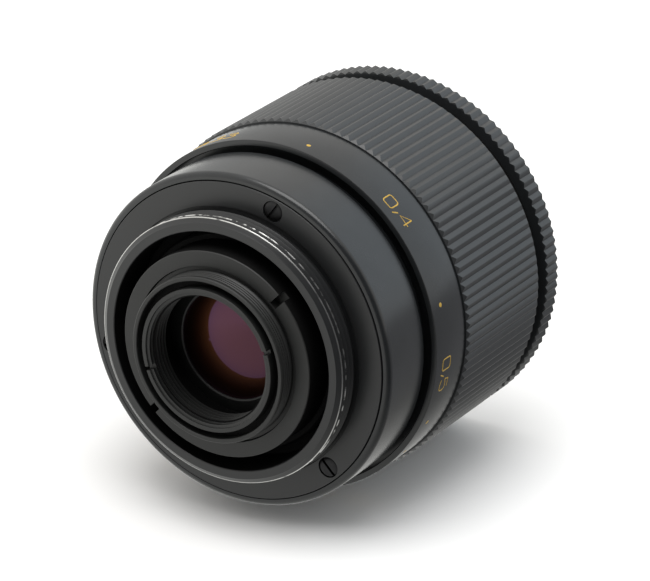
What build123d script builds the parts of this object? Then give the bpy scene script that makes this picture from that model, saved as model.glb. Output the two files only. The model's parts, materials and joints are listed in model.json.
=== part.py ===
from build123d import *
import math
import os

os.makedirs("parts", exist_ok=True)

# Screw-mount lens with its own focusing helicoid. Millimetres. The optical axis is +Y and
# points to the front, +Z is up, and the origin is the centre of the mount's seat plane.
# "Angle" is measured in the XZ plane from +X towards +Z.

# ---------------------------------------------------------------- driving dimensions
# mount: M42 x 1 male thread behind a seat plate held by three screws
thread_radius = 21.0
thread_pitch = 1.0
thread_depth = 0.61
thread_length = 4.6
relief_radius = 21.3
relief_depth = 0.3
mount_bore = 18.87
plate_radius = 25.15
plate_thickness = 2.4
mount_screw_circle = 23.15
mount_screw_angle = 73.7
mount_screw_slot_angles = (53.0, 20.0, -46.0)
mount_screw_head = 3.1
mount_screw_shank = 2.0

# fixed barrel
barrel_radius = 26.5
barrel_front = 10.0
barrel_seat_radius = 25.25
bearing_radius = 24.6
bearing_front = 24.0
barrel_bore = 22.6
running_gap = 0.05

# focusing ring: scale band and ribbed grip
scale_radius = 28.0
scale_rear = 11.2
scale_lip_bore = 27.0
grip_rear = 19.6
grip_front = 41.7
grip_radius = 28.6
rib_depth = 0.38
rib_end_chamfer = 0.38
grip_wall = 1.8
rib_count = 120
rib_crest_share = 0.1
grip_groove_angle = 2.0
nut_rear = 27.0
nut_front = 33.0
nut_bore = 20.8

# helicoid: rotation of the focusing ring against travel of the lens block
helicoid_lead = 14.61
focus_travel = 13.4
focus_turn = 360.0 * focus_travel / helicoid_lead

# focusing tube of the lens block
tube_rear = -5.63
tube_rear_radius = 16.28
tube_rear_bore = 13.85
tube_radius = 20.0
tube_thread_radius = 20.5
tube_bore = 18.4
tube_front = 38.6
key_width = 3.0
key_rear = 17.0
key_front = 23.0
key_tip_radius = 19.6

# optical barrel
hub_rear = -8.2
hub_radius = 13.1
hub_lip_bore = 12.4
hub_trench_floor = -6.4
retainer_rear = -8.4
retainer_radius = 11.3
retainer_mouth = 10.65
retainer_bore = 10.1
retainer_thread_radius = 10.95
retainer_seat = -7.2
thread_clearance = 0.05
rear_glass_aperture = 8.73
rear_glass_plane = -1.2
iris_rear = 5.0
iris_bore = 15.6
iris_wall = 16.4

# iris
blade_count = 6
open_radius = 8.95
blade_outer_radius = 13.4
blade_thickness = 0.12
blade_pitch = 0.2
blade_pivot_circle = 14.3
blade_pin_radius = 0.35
blade_span = 128.0
drive_pin_reach = 1.4
aperture_turn = 50.0
blade_turn = 30.0

# aperture ring, hood and front rim
ring_rear = 44.2
ring_front = 47.6
ring_radius = 28.6
ring_hub_radius = 26.8
ring_hub_rear = 42.4
web_rear = 40.1
web_front = 41.2
knurl_count = 120
knurl_depth = 0.38
knurl_end_chamfer = 0.15
knurl_groove_angle = 1.3
rim_front = 49.4
rim_radius = 26.4
filter_thread_radius = 24.25
filter_thread_front = 49.0
filter_thread_rear = 45.0
rim_bearing = 25.15
hood_flange_radius = 24.7
sleeve_screw_circle = 20.2
sleeve_screw_angles = (40.0, 160.0, 280.0)
click_radius = 0.6
click_circle = 21.3
click_angle = 100.0
drive_pin_y = 8.0

# focus stops: half the arc that the ring can't turn through, less the pin's own width
stop_angle = 75.0
stop_half = (360.0 - focus_turn) / 2 - 3.4


def across(y):
    """Plane square to the optical axis at y, with X to the right and Z up."""
    return Plane.XZ.offset(-y)


def turn(outline):
    """Revolve a closed outline of (radius, y) points about the optical axis."""
    with BuildSketch(Plane.XY) as section:
        with BuildLine():
            Polyline(*outline, close=True)
        make_face()
    revolve(section.sketch, axis=Axis.Y)


def radial_plane(radius, y, angle):
    """Plane at a radius from the optical axis, facing straight outwards."""
    x, z = math.cos(math.radians(angle)), math.sin(math.radians(angle))
    return Plane(origin=(radius * x, y, radius * z), x_dir=(0, 1, 0), z_dir=(x, 0, z))


def polar(radius, angle):
    return (radius * math.cos(math.radians(angle)), radius * math.sin(math.radians(angle)))


def spaced(count, first):
    return [first + 360.0 * step / count for step in range(count)]


def drill(y_rear, y_front, hole_radius, circle, angles, mode=Mode.SUBTRACT):
    """Round holes, or studs with Mode.ADD, parallel to the optical axis."""
    with BuildSketch(across(y_rear)) as circles:
        for angle in angles:
            with Locations(polar(circle, angle)):
                Circle(hole_radius)
    extrude(circles.sketch, amount=-(y_front - y_rear), mode=mode)


def slot_across(y_rear, y_front, inner, outer, width, angles, mode=Mode.SUBTRACT):
    """Straight-sided radial slots, or keys with Mode.ADD, between two radii."""
    with BuildSketch(across(y_rear)) as bars:
        for angle in angles:
            with Locations(Location((*polar((inner + outer) / 2, angle), 0), (0, 0, 1), angle)):
                Rectangle(outer - inner, width)
    extrude(bars.sketch, amount=-(y_front - y_rear), mode=mode)


def ribbed(crest, depth, count, groove_angle, crest_share, y_rear, y_front, end_chamfer):
    """Ribs along the axis: V grooves between narrow flat crests, chamfered at both ends."""
    points = []
    pitch = 360.0 / count
    flat = crest_share * pitch / 2
    for angle in spaced(count, groove_angle):
        points.append(polar(crest - depth, angle))
        points.append(polar(crest, angle + pitch / 2 - flat))
        points.append(polar(crest, angle + pitch / 2 + flat))
    with BuildSketch(across(y_rear)) as star:
        with BuildLine():
            Polyline(*points, close=True)
        make_face()
    extrude(star.sketch, amount=-(y_front - y_rear))
    with BuildSketch(Plane.XY) as ends:
        with BuildLine():
            Polyline(
                (0, y_rear),
                (crest - end_chamfer, y_rear),
                (crest, y_rear + end_chamfer),
                (crest, y_front - end_chamfer),
                (crest - end_chamfer, y_front),
                (0, y_front),
                close=True,
            )
        make_face()
    revolve(ends.sketch, axis=Axis.Y, mode=Mode.INTERSECT)


def thread_outline(radius, depth, pitch, y_rear, y_front):
    """Crests and roots of a V thread as (radius, y) points, from rear to front."""
    points = []
    for step in range(int((y_front - y_rear) / pitch)):
        y = y_rear + step * pitch
        points.append((radius, y + 0.44 * pitch))
        points.append((radius, y + 0.56 * pitch))
        points.append((radius - depth, y + 0.97 * pitch))
        points.append((radius - depth, y + 1.03 * pitch))
    return points


def lens_element(edge_radius, y_rear_edge, y_front_edge, rear_bulge, front_bulge):
    """A glass element; a positive bulge swells its face outwards at the centre."""
    with BuildSketch(Plane.XY) as section:
        with BuildLine():
            Line((0, y_rear_edge - rear_bulge), (0, y_front_edge + front_bulge))
            if front_bulge:
                front_radius = (edge_radius**2 + front_bulge**2) / (2 * abs(front_bulge))
                half = math.degrees(math.asin(edge_radius / front_radius)) / 2
                sag = front_radius * (1 - math.cos(math.radians(half)))
                middle_r = front_radius * math.sin(math.radians(half))
                middle_y = y_front_edge + front_bulge - math.copysign(sag, front_bulge)
                ThreePointArc(
                    (0, y_front_edge + front_bulge), (middle_r, middle_y), (edge_radius, y_front_edge)
                )
            else:
                Line((0, y_front_edge), (edge_radius, y_front_edge))
            Line((edge_radius, y_front_edge), (edge_radius, y_rear_edge))
            if rear_bulge:
                rear_radius = (edge_radius**2 + rear_bulge**2) / (2 * abs(rear_bulge))
                half = math.degrees(math.asin(edge_radius / rear_radius)) / 2
                sag = rear_radius * (1 - math.cos(math.radians(half)))
                middle_r = rear_radius * math.sin(math.radians(half))
                middle_y = y_rear_edge - rear_bulge + math.copysign(sag, rear_bulge)
                ThreePointArc(
                    (edge_radius, y_rear_edge), (middle_r, middle_y), (0, y_rear_edge - rear_bulge)
                )
            else:
                Line((edge_radius, y_rear_edge), (0, y_rear_edge))
        make_face()
    revolve(section.sketch, axis=Axis.Y)


def write(piece, name):
    piece.part.label = name
    export_step(piece.part, f"parts/{name}.step")


# ---------------------------------------------------------------- mount and fixed barrel
mount_screw_angles = spaced(3, mount_screw_angle)
screw_head_depth = 1.0

with BuildPart() as mount_ring:
    crests = thread_outline(thread_radius, thread_depth, thread_pitch, -4.5, -0.5)
    turn(
        [(mount_bore, -thread_length), (thread_radius - 0.75, -thread_length)]
        + crests
        + [
            (thread_radius - thread_depth, relief_depth),
            (relief_radius, relief_depth),
            (relief_radius, 0.0),
            (plate_radius, 0.0),
            (plate_radius, plate_thickness),
            (mount_bore, plate_thickness),
        ]
    )
    drill(0, plate_thickness, mount_screw_shank / 2 + 0.1, mount_screw_circle, mount_screw_angles)
    drill(0, screw_head_depth + 0.1, mount_screw_head / 2 + 0.1, mount_screw_circle, mount_screw_angles)
write(mount_ring, "mount_ring")

with BuildPart() as mount_screws:
    drill(
        0.15,
        screw_head_depth + 0.1,
        mount_screw_head / 2,
        mount_screw_circle,
        mount_screw_angles,
        Mode.ADD,
    )
    drill(1.0, 6.6, mount_screw_shank / 2, mount_screw_circle, mount_screw_angles, Mode.ADD)
    for slot_angle, place in zip(mount_screw_slot_angles, mount_screw_angles):
        with BuildSketch(across(0.15)):
            with Locations(Location((*polar(mount_screw_circle, place), 0), (0, 0, 1), slot_angle)):
                Rectangle(mount_screw_head + 1, 0.45)
        extrude(amount=-0.45, mode=Mode.SUBTRACT)
write(mount_screws, "mount_screws")

with BuildPart() as fixed_barrel:
    turn(
        [
            (barrel_seat_radius, 0.15),
            (barrel_radius - 0.55, 0.15),
            (barrel_radius, 1.0),
            (barrel_radius, barrel_front),
            (25.4, barrel_front),
            (25.4, scale_rear + 0.8),
            (bearing_radius, scale_rear + 0.8),
            (bearing_radius, bearing_front),
            (barrel_bore, bearing_front),
            (barrel_bore, 8.6),
            (21.6, 7.6),
            (21.6, plate_thickness),
            (barrel_seat_radius, plate_thickness),
        ]
    )
    drill(plate_thickness, 7.0, mount_screw_shank / 2 + 0.02, mount_screw_circle, mount_screw_angles)
write(fixed_barrel, "fixed_barrel")

# Two keys on the inside of the barrel stop the lens block from turning.
key_angles = spaced(2, 15.0)
with BuildPart() as guide_keys:
    slot_across(key_rear, key_front, key_tip_radius, barrel_bore - 0.02, key_width, key_angles, Mode.ADD)
    with BuildSketch(Plane.XY):
        with BuildLine():
            Polyline((0, 0), (barrel_bore - 0.02, 0), (barrel_bore - 0.02, 40), (0, 40), close=True)
        make_face()
    revolve(axis=Axis.Y, mode=Mode.INTERSECT)
write(guide_keys, "guide_keys")

# Threaded collar that keeps the focusing ring on its bearing.
with BuildPart() as bearing_collar:
    turn([(barrel_bore, bearing_front), (25.5, bearing_front), (25.5, 25.8), (barrel_bore, 25.8)])
    slot_across(25.2, 25.8, barrel_bore - 1, 24.0, 1.4, spaced(4, 45.0))
write(bearing_collar, "bearing_collar")

# ---------------------------------------------------------------- focusing ring
carrier_radius = grip_radius - grip_wall
with BuildPart() as scale_ring:
    turn(
        [
            (scale_lip_bore, scale_rear),
            (scale_radius - 0.15, scale_rear),
            (scale_radius, scale_rear + 0.15),
            (scale_radius, grip_rear),
            (carrier_radius, grip_rear),
            (carrier_radius, grip_front - 0.5),
            (24.9, grip_front - 0.5),
            (24.9, nut_rear),
            (25.8, nut_rear),
            (25.8, bearing_front - 0.1),
            (bearing_radius + running_gap, bearing_front - 0.1),
            (bearing_radius + running_gap, 13.2),
            (scale_lip_bore, 13.2),
        ]
    )
write(scale_ring, "scale_ring")

with BuildPart() as grip_sleeve:
    ribbed(
        grip_radius,
        rib_depth,
        rib_count,
        grip_groove_angle,
        rib_crest_share,
        grip_rear,
        grip_front,
        rib_end_chamfer,
    )
    with BuildSketch(across(grip_rear)):
        Circle(carrier_radius + 0.01)
    extrude(amount=-(grip_front - grip_rear), mode=Mode.SUBTRACT)
write(grip_sleeve, "grip_sleeve")

with BuildPart() as helicoid_nut:
    turn([(nut_bore, nut_rear), (24.88, nut_rear), (24.88, nut_front), (nut_bore, nut_front)])
    drill(nut_front - 1.6, nut_front, 0.8, 23.2, spaced(3, 30.0))
write(helicoid_nut, "helicoid_nut")

with BuildPart() as nut_ring:
    turn([(21.8, nut_front), (24.88, nut_front), (24.88, nut_front + 1.2), (21.8, nut_front + 1.2)])
    drill(nut_front, nut_front + 1.2, 0.8, 23.2, spaced(3, 30.0))
write(nut_ring, "nut_ring")

with BuildPart() as nut_screws:
    drill(nut_front - 1.5, nut_front + 1.2, 0.75, 23.2, spaced(3, 30.0), Mode.ADD)
    drill(nut_front + 1.2, nut_front + 2.0, 1.2, 23.2, spaced(3, 30.0), Mode.ADD)
    slot_across(nut_front + 1.6, nut_front + 2.0, 21.5, 24.9, 0.4, spaced(3, 30.0))
write(nut_screws, "nut_screws")

# ---------------------------------------------------------------- lens block
notch_angles = spaced(2, 45.3)
grub_angles = spaced(3, 130.0)
with BuildPart() as focusing_tube:
    turn(
        [
            (tube_rear_bore, tube_rear),
            (tube_rear_radius - 0.1, tube_rear),
            (tube_rear_radius, tube_rear + 0.1),
            (tube_rear_radius, -0.1),
            (17.0, -0.1),
            (17.35, 0.25),
            (17.35, 2.7),
            (tube_radius, 2.7),
            (tube_radius, 13.4),
            (tube_thread_radius, 13.4),
            (tube_thread_radius, 34.6),
            (tube_radius, 34.6),
            (tube_radius, tube_front - 3.0),
            (24.2, tube_front - 3.0),
            (24.2, tube_front),
            (tube_bore, tube_front),
            (tube_bore, 4.0),
            (16.9, 4.0),
            (16.9, 3.4),
            (tube_rear_bore, 3.4),
        ]
    )
    slot_across(tube_rear, tube_rear + 1.6, 14.2, tube_rear_radius + 1, 1.25, notch_angles)
    slot_across(2.6, key_front + 0.6, key_tip_radius - 0.3, 23, key_width + 0.16, key_angles)
    drill(tube_front - 2.8, tube_front, click_radius + 0.05, click_circle, [click_angle])
    for angle in grub_angles:
        with BuildSketch(radial_plane(0, 1.1, angle)):
            Circle(0.72)
        extrude(amount=18, mode=Mode.SUBTRACT)
write(focusing_tube, "focusing_tube")

drive_slot_angle = 200.0
with BuildPart() as optical_barrel:
    turn(
        [
            (hub_lip_bore, hub_rear),
            (hub_radius, hub_rear),
            (hub_radius + 0.15, hub_rear + 0.4),
            (hub_radius + 0.15, tube_rear + 0.4),
            (tube_rear_bore - 0.05, tube_rear + 0.4),
            (tube_rear_bore - 0.05, 3.4),
            (iris_wall, 3.4),
            (iris_wall, 11.6),
            (iris_bore, 11.6),
            (iris_bore, iris_rear - 1.0),
            (10.6, iris_rear - 1.0),
            (10.6, 0.6),
            (11.35, -0.4),
            (11.35, -4.0),
            (10.45, -4.0),
            (10.45, retainer_seat),
            (retainer_thread_radius, retainer_seat),
            (retainer_thread_radius, hub_trench_floor),
            (hub_lip_bore, hub_trench_floor),
        ]
    )
    # Slot through the wall that the iris drive pin travels in.
    for step in range(7):
        slot_across(7.5, 8.5, 14.0, 18.0, 3.2, [drive_slot_angle + aperture_turn * step / 6])
write(optical_barrel, "optical_barrel")

# Nut on the hub's inner tube, driven by two slots, that holds the baffle and the rear cell.
with BuildPart() as rear_retainer:
    turn(
        [
            (retainer_mouth, retainer_rear),
            (retainer_radius - 0.05, retainer_rear),
            (retainer_radius, retainer_rear + 0.05),
            (retainer_radius, hub_trench_floor - 0.1),
            (retainer_thread_radius + thread_clearance, hub_trench_floor - 0.1),
            (retainer_thread_radius + thread_clearance, retainer_seat - thread_clearance),
            (retainer_bore, retainer_seat - thread_clearance),
            (retainer_bore, retainer_seat - 0.3),
            (retainer_mouth, retainer_seat - 0.7),
        ]
    )
    slot_across(retainer_rear, retainer_seat - 0.15, 9.0, 12.0, 0.6, spaced(2, 19.0))
write(rear_retainer, "rear_retainer")

# Threaded tube that the retainer presses home: its rings of thread trap stray light.
with BuildPart() as rear_baffle:
    grooves = thread_outline(9.85, -0.4, 0.75, -7.2, -4.2)
    turn([(10.4, -4.02), (10.4, retainer_seat), (9.85, retainer_seat)] + grooves + [(10.25, -4.02)])
write(rear_baffle, "rear_baffle")

with BuildPart() as rear_cell:
    turn(
        [
            (rear_glass_aperture, rear_glass_plane),
            (rear_glass_aperture + 0.25, rear_glass_plane - 0.05),
            (10.0, -0.9),
            (11.25, -0.38),
            (10.55, 0.55),
            (10.55, 3.95),
            (9.75, 3.95),
            (9.75, rear_glass_plane + 0.35),
            (rear_glass_aperture, rear_glass_plane + 0.35),
        ]
    )
write(rear_cell, "rear_cell")

with BuildPart() as rear_lens:
    lens_element(9.7, -0.5, 0.8, 1.6, 1.3)
write(rear_lens, "rear_lens")

with BuildPart() as rear_cemented_lens:
    lens_element(9.7, 0.8, 3.6, -1.3, -0.8)
write(rear_cemented_lens, "rear_cemented_lens")

with BuildPart() as rear_lens_clamp:
    turn([(8.95, 3.62), (9.73, 3.62), (9.73, 3.98), (8.95, 3.98)])
write(rear_lens_clamp, "rear_lens_clamp")

# ---------------------------------------------------------------- iris
blade_angles = spaced(blade_count, 10.0)
with BuildPart() as iris_base:
    turn(
        [
            (open_radius + 0.1, iris_rear - 1.0),
            (iris_bore - 0.02, iris_rear - 1.0),
            (iris_bore - 0.02, iris_rear),
            (open_radius + 0.1, iris_rear),
        ]
    )
    drill(iris_rear - 1.0, iris_rear, blade_pin_radius + 0.05, blade_pivot_circle, blade_angles)
write(iris_base, "iris_base")

stack_rear = iris_rear + 0.1
stack_front = stack_rear + blade_count * blade_pitch
cam_rear = stack_front + 0.1
cam_front = cam_rear + 1.0


def drive_pin_place(pivot_angle, share):
    """Where a blade's drive pin is when the iris has closed by this share of its turn."""
    pivot = polar(blade_pivot_circle, pivot_angle)
    reach = polar(drive_pin_reach, pivot_angle - 94.0 + blade_turn * share)
    return (pivot[0] + reach[0], pivot[1] + reach[1])


def in_cam_frame(point, share):
    angle = math.degrees(math.atan2(point[1], point[0])) - aperture_turn * share
    return polar(math.hypot(*point), angle)


for index, blade_angle in enumerate(blade_angles):
    layer = stack_rear + index * blade_pitch
    with BuildPart() as iris_blade:
        with BuildSketch(across(layer)):
            with BuildLine():
                start = blade_angle - 3.0
                end = blade_angle + blade_span
                middle = (start + end) / 2
                ThreePointArc(
                    polar(open_radius + 0.05, start),
                    polar(open_radius + 0.05, middle),
                    polar(open_radius + 0.05, end),
                )
                Line(polar(open_radius + 0.05, end), polar(open_radius + 1.6, end + 4))
                ThreePointArc(
                    polar(open_radius + 1.6, end + 4),
                    polar(blade_outer_radius - 0.25, end - 14),
                    polar(blade_outer_radius, middle),
                )
                ThreePointArc(
                    polar(blade_outer_radius, middle),
                    polar(blade_outer_radius, (start + middle) / 2),
                    polar(blade_outer_radius, start),
                )
                Line(polar(blade_outer_radius, start), polar(open_radius + 0.05, start))
            make_face()
            with Locations(polar(blade_pivot_circle, blade_angle)):
                Circle(1.15)
            with Locations(drive_pin_place(blade_angle, 0)):
                Circle(0.6)
        extrude(amount=-blade_thickness)
        with BuildSketch(across(iris_rear - 0.9)):
            with Locations(polar(blade_pivot_circle, blade_angle)):
                Circle(blade_pin_radius)
        extrude(amount=-(layer - iris_rear + 0.9))
        with BuildSketch(across(layer)):
            with Locations(drive_pin_place(blade_angle, 0)):
                Circle(blade_pin_radius)
        extrude(amount=-(cam_front - 0.1 - layer))
    write(iris_blade, f"iris_blade_{index + 1}")

with BuildPart() as iris_cam:
    turn(
        [
            (open_radius + 0.1, cam_rear),
            (iris_bore - 0.08, cam_rear),
            (iris_bore - 0.08, cam_front + 1.2),
            (iris_bore - 1.6, cam_front + 1.2),
            (iris_bore - 1.6, cam_front),
            (open_radius + 0.1, cam_front),
        ]
    )
    with BuildSketch(radial_plane(13.9, drive_pin_y, drive_slot_angle)):
        Circle(0.37)
    extrude(amount=3, mode=Mode.SUBTRACT)
    slot_steps = 8
    for blade_angle in blade_angles:
        path = []
        for step in range(slot_steps + 1):
            share = step / slot_steps
            path.append(in_cam_frame(drive_pin_place(blade_angle, share), share))
        with BuildSketch(across(cam_rear)):
            for first, second in zip(path, path[1:]):
                offset_length = math.dist(first, second)
                turn_angle = math.degrees(math.atan2(second[1] - first[1], second[0] - first[0]))
                middle_point = ((first[0] + second[0]) / 2, (first[1] + second[1]) / 2)
                with Locations(Location((*middle_point, 0), (0, 0, 1), turn_angle)):
                    SlotCenterToCenter(offset_length, 2 * (blade_pin_radius + 0.06))
        extrude(amount=-1.0, mode=Mode.SUBTRACT)
write(iris_cam, "iris_cam")

with BuildPart() as iris_drive_pin:
    with BuildSketch(radial_plane(14.3, drive_pin_y, drive_slot_angle)):
        Circle(0.35)
    extrude(amount=3.3)
write(iris_drive_pin, "iris_drive_pin")

# Sleeve that carries the turn of the aperture ring back to the iris.
with BuildPart() as aperture_sleeve:
    sleeve = [(16.9, 6.6), (17.8, 6.6), (17.8, 39.1), (23.0, 39.1), (23.0, web_rear), (16.9, web_rear)]
    turn(sleeve)
    with BuildSketch(radial_plane(16, drive_pin_y, drive_slot_angle)):
        Circle(0.37)
    extrude(amount=3, mode=Mode.SUBTRACT)
    drill(39.1, web_rear, 0.6, sleeve_screw_circle, sleeve_screw_angles)
write(aperture_sleeve, "aperture_sleeve")

with BuildPart() as aperture_ring:
    ribbed(
        ring_radius,
        knurl_depth,
        knurl_count,
        knurl_groove_angle,
        rib_crest_share,
        ring_rear,
        ring_front,
        knurl_end_chamfer,
    )
    with BuildSketch(across(ring_rear)):
        Circle(rim_bearing + running_gap)
    extrude(amount=-(ring_front - ring_rear), mode=Mode.SUBTRACT)
    turn(
        [
            (18.4, web_rear),
            (23.0, web_rear),
            (ring_hub_radius, ring_hub_rear),
            (ring_hub_radius, ring_rear + 0.1),
            (rim_bearing + running_gap, ring_rear + 0.1),
            (rim_bearing + running_gap, 43.2),
            (21.9, web_front),
            (18.4, web_front),
        ]
    )
    drill(web_rear, web_front, 0.62, sleeve_screw_circle, sleeve_screw_angles)
    drill(web_front - 0.55, web_front, 1.0, sleeve_screw_circle, sleeve_screw_angles)
write(aperture_ring, "aperture_ring")

with BuildPart() as sleeve_screws:
    drill(39.15, web_front - 0.5, 0.58, sleeve_screw_circle, sleeve_screw_angles, Mode.ADD)
    drill(web_front - 0.53, web_front - 0.05, 0.95, sleeve_screw_circle, sleeve_screw_angles, Mode.ADD)
    slot_across(web_front - 0.3, web_front, 18.0, 22.6, 0.35, sleeve_screw_angles)
write(sleeve_screws, "sleeve_screws")

with BuildPart() as click_ball:
    x, z = polar(click_circle, click_angle)
    with Locations((x, tube_front - 0.2, z)):
        Sphere(click_radius)
write(click_ball, "click_ball")

with BuildPart() as click_spring:
    drill(tube_front - 2.75, tube_front - 0.85, click_radius - 0.05, click_circle, [click_angle], Mode.ADD)
    drill(tube_front - 2.75, tube_front - 0.85, click_radius - 0.3, click_circle, [click_angle])
write(click_spring, "click_spring")

with BuildPart() as block_grub_screws:
    for angle in grub_angles:
        with BuildSketch(radial_plane(13.9, 1.1, angle)):
            Circle(0.7)
        extrude(amount=3.2)
write(block_grub_screws, "block_grub_screws")

# ---------------------------------------------------------------- front optics
with BuildPart() as front_cell:
    turn(
        [
            (9.3, 9.5),
            (15.58, 9.5),
            (15.58, 11.6),
            (iris_wall, 11.6),
            (iris_wall, 12.8),
            (14.6, 12.8),
            (14.6, 21.0),
            (13.4, 21.0),
            (13.4, 18.6),
            (11.65, 18.6),
            (11.65, 12.6),
            (10.65, 12.6),
            (10.65, 10.3),
            (9.3, 10.3),
        ]
    )
write(front_cell, "front_cell")

with BuildPart() as middle_lens:
    lens_element(10.6, 10.35, 12.4, -0.9, -0.5)
write(middle_lens, "middle_lens")

with BuildPart() as lens_spacer:
    turn([(9.9, 12.45), (10.6, 12.45), (10.6, 12.65), (11.6, 12.65), (11.6, 14.4), (9.9, 14.4)])
write(lens_spacer, "lens_spacer")

with BuildPart() as front_lens:
    lens_element(11.55, 14.45, 16.0, 0, 2.2)
write(front_lens, "front_lens")

with BuildPart() as front_retainer:
    turn(
        [
            (10.4, 16.6),
            (11.6, 16.1),
            (11.6, 18.65),
            (13.35, 18.65),
            (13.35, 19.4),
            (11.7, 19.4),
            (10.4, 17.0),
        ]
    )
    slot_across(18.9, 19.4, 11.5, 14.0, 1.0, spaced(2, 60.0))
write(front_retainer, "front_retainer")

# Deep front hood: a stepped inside keeps stray light off the front element.
hood_steps = 12
with BuildPart() as front_hood:
    inside = []
    for step in range(hood_steps):
        share = step / hood_steps
        y = 41.6 - 20.0 * share
        inside.append((15.3 - 2.7 * share, y))
        inside.append((15.0 - 2.7 * share, y - 0.5))
    turn(
        [
            (14.65, 13.2),
            (16.2, 13.2),
            (16.2, 41.6),
            (21.6, 41.6),
            (hood_flange_radius, 43.2),
            (hood_flange_radius, filter_thread_rear),
            (23.5, filter_thread_rear),
            (15.7, 42.2),
        ]
        + inside
        + [(12.4, 21.2), (14.65, 21.2)]
    )
write(front_hood, "front_hood")

with BuildPart() as front_rim:
    grooves = thread_outline(filter_thread_radius, -0.45, 0.75, filter_thread_rear, filter_thread_front - 0.2)
    turn(
        [
            (filter_thread_radius, filter_thread_front),
            (filter_thread_radius + 0.4, rim_front),
            (rim_radius - 0.2, rim_front),
            (rim_radius, rim_front - 0.2),
            (rim_radius, 47.9),
            (rim_bearing, 47.9),
            (rim_bearing, 44.2),
            (hood_flange_radius + 0.02, 44.2),
            (hood_flange_radius + 0.02, filter_thread_rear),
        ]
        + grooves
    )
write(front_rim, "front_rim")

# ---------------------------------------------------------------- focus stops
with BuildPart() as stop_block:
    for step in range(9):
        slot_across(25.8, 26.8, 23.6, 24.8, 1.5, [stop_angle + stop_half * (step / 4 - 1)], Mode.ADD)
write(stop_block, "stop_block")

with BuildPart() as stop_pin:
    drill(26.0, nut_rear, 0.5, 24.2, [stop_angle - (360 - focus_turn) / 2], Mode.ADD)
write(stop_pin, "stop_pin")
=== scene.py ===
# %% [markdown]
# # A screw-mount lens in black anodised aluminium
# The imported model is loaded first. It gives every size in metres, and it holds the moving
# bodies that each new piece rides on. Millimetres are easier to read on a lens, so one
# factor turns them to metres.

# %% Load the frame
import json
import math

import bpy
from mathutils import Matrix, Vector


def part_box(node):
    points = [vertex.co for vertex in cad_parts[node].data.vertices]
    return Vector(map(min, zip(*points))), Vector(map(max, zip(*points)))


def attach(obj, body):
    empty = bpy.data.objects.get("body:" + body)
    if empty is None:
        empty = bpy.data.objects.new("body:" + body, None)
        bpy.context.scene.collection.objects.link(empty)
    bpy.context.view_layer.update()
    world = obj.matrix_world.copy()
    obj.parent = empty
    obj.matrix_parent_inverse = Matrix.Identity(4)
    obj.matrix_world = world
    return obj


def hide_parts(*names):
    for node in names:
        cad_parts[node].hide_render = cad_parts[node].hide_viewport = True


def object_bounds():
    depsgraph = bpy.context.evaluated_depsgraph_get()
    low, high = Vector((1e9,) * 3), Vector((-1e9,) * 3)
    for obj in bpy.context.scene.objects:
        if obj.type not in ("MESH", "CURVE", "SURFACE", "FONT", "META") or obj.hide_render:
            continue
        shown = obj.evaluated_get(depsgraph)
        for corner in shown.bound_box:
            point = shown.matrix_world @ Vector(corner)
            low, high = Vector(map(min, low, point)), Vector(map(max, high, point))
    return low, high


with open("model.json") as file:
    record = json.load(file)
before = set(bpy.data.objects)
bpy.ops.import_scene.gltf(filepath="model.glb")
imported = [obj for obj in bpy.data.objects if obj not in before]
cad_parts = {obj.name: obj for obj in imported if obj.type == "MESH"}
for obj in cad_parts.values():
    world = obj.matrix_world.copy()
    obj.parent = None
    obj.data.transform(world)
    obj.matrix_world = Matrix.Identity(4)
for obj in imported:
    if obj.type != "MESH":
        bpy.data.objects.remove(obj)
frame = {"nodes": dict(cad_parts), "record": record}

CAD_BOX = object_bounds()
MM = 0.001

# %% [markdown]
# ## Sizes that the frame gives
# The optical axis is +Y. A turned node's box is as wide as its largest diameter, so half
# its width is its radius, and its Y range is where it starts and ends.

# %% Read radii and faces from the nodes
def outer_radius(node):
    low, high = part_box(node)
    return (high.x - low.x) / 2 / MM


def rear_of(node):
    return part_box(node)[0].y / MM


def front_of(node):
    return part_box(node)[1].y / MM


plate_radius = outer_radius("mount_ring")
thread_rear = rear_of("mount_ring")
thread_radius = plate_radius - 4.15
barrel_radius = outer_radius("fixed_barrel")
scale_radius = outer_radius("scale_ring")
grip_radius = outer_radius("grip_sleeve")
grip_rear = rear_of("grip_sleeve")
grip_front = front_of("grip_sleeve")
hub_rear = rear_of("optical_barrel")
tube_rear = rear_of("focusing_tube")
rim_front = front_of("front_rim")
print("plate", plate_radius, "barrel", barrel_radius, "scale", scale_radius, "grip", grip_radius)

# %% [markdown]
# ## Colours and nodes
# Colours are picked as sRGB hex values and shaders work in linear light, so one function
# converts them. A second small function adds any shader node with its settings and links.

# %% Colour and node helpers
def linear(hex_colour):
    channels = [int(hex_colour[i : i + 2], 16) / 255 for i in (1, 3, 5)]
    return [c / 12.92 if c <= 0.04045 else ((c + 0.055) / 1.055) ** 2.4 for c in channels] + [1.0]


def add(tree, kind, inputs=None, **settings):
    made = tree.nodes.new(kind)
    for setting, value in settings.items():
        setattr(made, setting, value)
    for socket, value in (inputs or {}).items():
        if isinstance(value, bpy.types.NodeSocket):
            tree.links.new(value, made.inputs[socket])
        else:
            made.inputs[socket].default_value = value
    return made


def noise(tree, place, size_mm, detail):
    """A cloudy value from 0 to 1 whose patches are about size_mm wide."""
    scale = 1 / (size_mm * MM)
    cloud = add(tree, "ShaderNodeTexNoise", {"Vector": place, "Scale": scale, "Detail": detail})
    return cloud.outputs["Fac"]


def map_range(tree, value, ends):
    """Ends such as From Min and To Max are 0 and 1 unless they are given."""
    return add(tree, "ShaderNodeMapRange", {"Value": value, **ends}).outputs["Result"]


def mix_shader(tree, factor, first, second):
    return add(tree, "ShaderNodeMixShader", {0: factor, 1: first, 2: second}).outputs["Shader"]


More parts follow.
